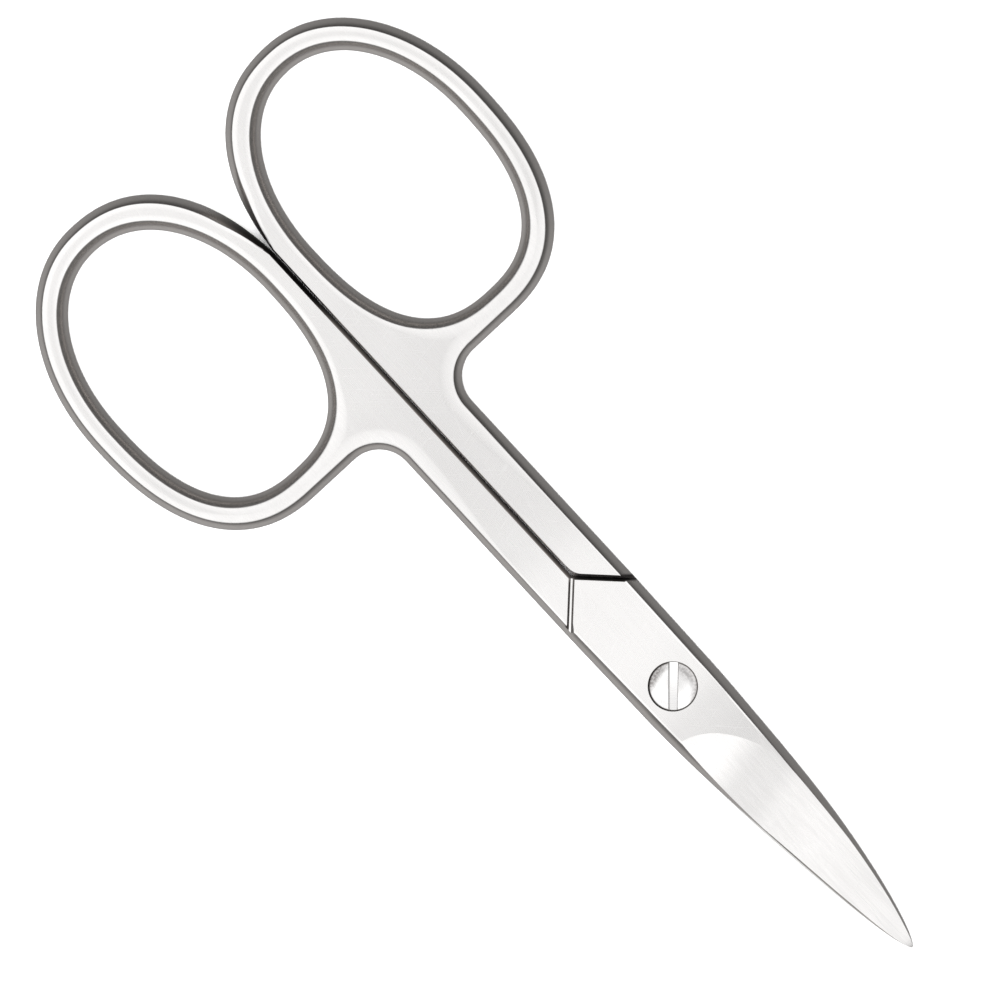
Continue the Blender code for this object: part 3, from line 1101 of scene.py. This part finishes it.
def half_steel(tree, s, tone):
    """Forged steel: satin ground faces, smooth darker flanks, rubbed edges, with painted shade in the gaps
    and painted reflections on the faces.
    """
    steel, middle = s.steel, middle_height(s)
    grain = grinding_grain(tree, length=steel.grain_length, width=steel.grain_width)
    face = ground_faces(tree)["Face"]
    marks = handling_scratches(tree, size=0.012, fineness=0.010)["Scratches"] * face
    wear_and_gap_shade = edge_wear_and_gap_shade(tree)
    ground = painted_reflection_tone(tree, middle=middle)
    joint = joint_painted_shade(tree, face=face, apex_reach=s.joint.apex_reach, middle=middle)
    # Painted reflection: the face colour brightened and darkened by the reflection tone
    tint = mixed(face, steel.flank_colour, toned(steel.face_colour, ground["Reflection_tone"] * tone))
    streak = ground["Ground"] * -0.03 + 0.98
    grained = toned(tint, remapped(grain["Grain"], 0.0, 1.0, streak, 1.0))
    rubbed = mixed(wear_and_gap_shade["Edge"] * 0.5, grained, steel.edge_colour)
    scored = mixed(marks * 0.05, rubbed, steel.edge_colour)
    # Painted shade: gaps, the seam and the V are darkened toward the shade colours
    painted_dark = most(wear_and_gap_shade["Gap"], joint["Painted_shade"])
    shade_tint = mixed(joint["Deep_shade"], steel.painted_shade_colour, steel.deep_shade_colour)
    rough = remapped(face, 0.0, 1.0, steel.flank_roughness, steel.face_roughness)
    varied = rough + remapped(grain["Grain"], 0.0, 1.0, 0.03, -0.03)
    return {
        "Base Color": mixed(painted_dark * 0.93, scored, shade_tint),
        "Metallic": 1.0 - painted_dark * (1.0 - joint["Deep_shade"]),
        "Roughness": varied + marks * 0.08 + painted_dark * 0.3,
        "Normal": bumped(grain["Height"] * face, 0.35, 0.000004),
    }


def screw_steel(tree, s):
    """Polished steel with faint turning marks round the screw's axis, patches of painted shade toward its
    head's rim, and painted shade on its steep walls.
    """
    steel, rim = s.steel, rim_height(s)
    place = texture_place(tree)
    radius = vector_maths("LENGTH", "Value", vector_maths("MULTIPLY", 0, place, (1, 1, 0)))
    sources = {"W": radius, "Scale": 16000, "Detail": 2}
    rings = wired(tree, "ShaderNodeTexNoise", sources, "Fac", noise_dimensions="1D")
    marks = handling_scratches(tree, size=0.0025, fineness=0.008)["Scratches"]
    wear_and_gap_shade = edge_wear_and_gap_shade(tree, radius=0.00005, reach=0.0004)
    face = ground_faces(tree, flank=0.35, face=0.75)["Face"]
    on_head = remapped(place_parts(tree)[2], rim - 0.00005, rim + 0.00002)
    speckle = remapped(stretched_noise(place, 0.0002, 0.0002, 2.0), 0.35, 0.65, 0.72, 1.0)
    shaded_head = toned(steel.screw_colour, remapped(rings, 0.3, 0.7, 0.95, 1.0))
    # Painted shade: darker patches toward the head's rim, strongest on the left, for the dome's shading
    for way, start, end, amount in (
        ((-0.97, -0.25, 0), 0.0010, 0.00168, 0.88),
        ((-0.10, 0.99, 0), 0.0007, 0.0017, 0.62),
        ((0.85, 0.52, 0), 0.0015, 0.0019, 0.70),
        ((0.29, -0.95, 0), 0.0008, 0.0019, 0.22),
    ):
        toward = vector_maths("DOT_PRODUCT", "Value", place, way)
        patch = remapped(toward, start, end, 0.0, amount) * speckle * on_head
        shaded_head = mixed(patch, shaded_head, steel.rim_shade_colour)
    rubbed = mixed(wear_and_gap_shade["Edge"] * 0.5, shaded_head, steel.edge_colour)
    # Painted shade on the slot's walls, the rim and other steep parts, and in gaps
    painted_dark = most(wear_and_gap_shade["Gap"], 1.0 - face)
    rough = steel.screw_roughness
    return {
        "Base Color": mixed(painted_dark * 0.85, rubbed, steel.painted_shade_colour),
        "Metallic": 1.0 - painted_dark,
        "Roughness": remapped(rings, 0.3, 0.7, rough - 0.02, rough + 0.03) + marks * 0.15,
        "Normal": bumped(rings, 0.3, 0.000002),
    }


def floor_paper(tree, stage):
    """Matt paper, very faintly cloudy."""
    cloud = wired(tree, "ShaderNodeTexNoise", {"Scale": 30}, "Fac")
    shade = remapped(cloud, 0.2, 0.8, 0.995, 1.0)
    return {"Roughness": 0.9, "Specular IOR Level": 0.1, "Base Color": toned(stage.floor_colour, shade)}


# ---- Stage


def studio_sky(stage):
    """Light from all round: bright over the table, dark at the horizon. The camera sees it plain."""
    world = bpy.data.worlds.new("studio")
    bpy.context.scene.world = world
    world.use_nodes = True
    tree = world.node_tree
    x, y, height = place_parts(tree, "Generated")
    stops = (
        (-1.0, 0.33), (-0.88, 0.36), (-0.56, 0.43), (-0.32, 0.45), (-0.20, 0.26), (-0.06, 0.11), (0.12, 0.12),
        (0.35, 0.30), (0.55, 0.70), (0.70, 1.15), (0.84, 1.38), (0.93, 1.34), (0.978, 1.20), (0.992, 0.98),
        (1.0, 0.91),
    )
    lean = (x * 0.16 - y * 0.36) * remapped(height, 0.2, 0.8, 1.0, 0.0) + 1.0
    sky = grey(lean * read_off(height, stops))
    seen = wired(tree, "ShaderNodeLightPath", output="Is Camera Ray")
    plug(tree.nodes["Background"].inputs["Color"], mixed(seen, sky, stage.floor_colour))


def pale_floor(stage):
    """The sheet of paper that the scissors lie on."""
    size = stage.floor_size / 2
    mesh = bmesh.new()
    corners = ((-size, -size, 0), (size, -size, 0), (size, size, 0), (-size, size, 0))
    mesh.faces.new([mesh.verts.new(corner) for corner in corners])
    floor = dressed(new_object("floor", mesh), new_material("floor_paper", floor_paper, stage))
    floor.visible_glossy = False


def softbox(stage):
    """A broad light overhead that the steel doesn't mirror."""
    data = bpy.data.lights.new("overhead_softbox", "AREA")
    data.energy = stage.softbox_power
    data.size = stage.softbox_size
    light = bpy.data.objects.new("overhead_softbox", data)
    light.location = (stage.target[0], stage.target[1], stage.softbox_height)
    light.visible_glossy = False
    bpy.context.scene.collection.objects.link(light)


def photo_camera(stage):
    """Nearly straight above, with the long axis running down to the right."""
    back = Vector((0, math.sin(stage.tilt), math.cos(stage.tilt)))
    long_axis = Vector((1, 0, 0))
    cross_axis = back.cross(long_axis)
    right = math.cos(stage.turn) * long_axis + math.sin(stage.turn) * cross_axis
    up = math.cos(stage.turn) * cross_axis - math.sin(stage.turn) * long_axis
    data = bpy.data.cameras.new("camera")
    data.lens = stage.lens
    data.sensor_width = 36
    data.clip_start, data.clip_end = 0.01, 20
    camera = bpy.data.objects.new("camera", data)
    place = Matrix((right, up, back)).transposed().to_4x4()
    place.translation = Vector(stage.target) + stage.distance * back
    camera.matrix_world = place
    bpy.context.scene.collection.objects.link(camera)
    bpy.context.scene.camera = camera


# ---- Operators


class SCISSORS_OT_upper_half(bpy.types.Operator):
    """Build the half that lies on top, bored clear for the screw"""

    bl_idname = "scissors.upper_half"
    bl_label = "Upper Half"

    def execute(self, context):
        s = context.scene.nail_scissors
        half = make_half(s, "upper_half_steel", seat_cutter, Matrix.Identity(4), s.blade.sway)
        dressed(half, new_material("upper_steel", half_steel, s, 1.0))
        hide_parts("upper_half")
        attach(half, "upper")
        return {"FINISHED"}


class SCISSORS_OT_lower_half(bpy.types.Operator):
    """Build the half that lies underneath, threaded for the screw"""

    bl_idname = "scissors.lower_half"
    bl_label = "Lower Half"

    def execute(self, context):
        s = context.scene.nail_scissors
        half = make_half(s, "lower_half_steel", thread_cutter, turn_over(s), 0)
        dressed(half, new_material("lower_steel", half_steel, s, 0.985))
        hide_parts("lower_half")
        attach(half, "lower")
        return {"FINISHED"}


class SCISSORS_OT_pivot_screw(bpy.types.Operator):
    """Build the screw that the halves turn on"""

    bl_idname = "scissors.pivot_screw"
    bl_label = "Pivot Screw"

    def execute(self, context):
        s = context.scene.nail_scissors
        screw = make_screw(s, "pivot_screw_steel")
        dressed(screw, new_material("screw_steel", screw_steel, s))
        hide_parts("pivot_screw")
        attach(screw, "lower")
        return {"FINISHED"}


class SCISSORS_OT_stage(bpy.types.Operator):
    """Build the floor, the light and the camera"""

    bl_idname = "scissors.stage"
    bl_label = "Stage"

    def execute(self, context):
        stage = context.scene.nail_scissors.stage
        studio_sky(stage)
        pale_floor(stage)
        softbox(stage)
        photo_camera(stage)
        context.scene.view_settings.view_transform = "Standard"
        return {"FINISHED"}


class SCISSORS_PT_sidebar(bpy.types.Panel):
    """Lists the pieces and their sizes"""

    bl_idname = "SCISSORS_PT_sidebar"
    bl_label = "Nail Scissors"
    bl_space_type = "VIEW_3D"
    bl_region_type = "UI"
    bl_category = "Scissors"

    def draw(self, context):
        settings = context.scene.nail_scissors
        for operator in operators:
            self.layout.operator(operator.bl_idname)
        for name in setting_groups:
            box = self.layout.box()
            box.label(text=spoken(name))
            group = getattr(settings, name)
            for key in group.__annotations__:
                box.prop(group, key, text=spoken(key))


operators = (
    SCISSORS_OT_upper_half,
    SCISSORS_OT_lower_half,
    SCISSORS_OT_pivot_screw,
    SCISSORS_OT_stage,
)
classes = (*setting_groups.values(), ScissorsSettings, *operators, SCISSORS_PT_sidebar)


def register():
    for item in classes:
        bpy.utils.register_class(item)
    bpy.types.Scene.nail_scissors = PointerProperty(type=ScissorsSettings)


def unregister():
    del bpy.types.Scene.nail_scissors
    for item in reversed(classes):
        bpy.utils.unregister_class(item)


def main():
    register()
    bpy.ops.scissors.upper_half()
    bpy.ops.scissors.lower_half()
    bpy.ops.scissors.pivot_screw()
    bpy.ops.scissors.stage()


if __name__ == "__main__":
    main()
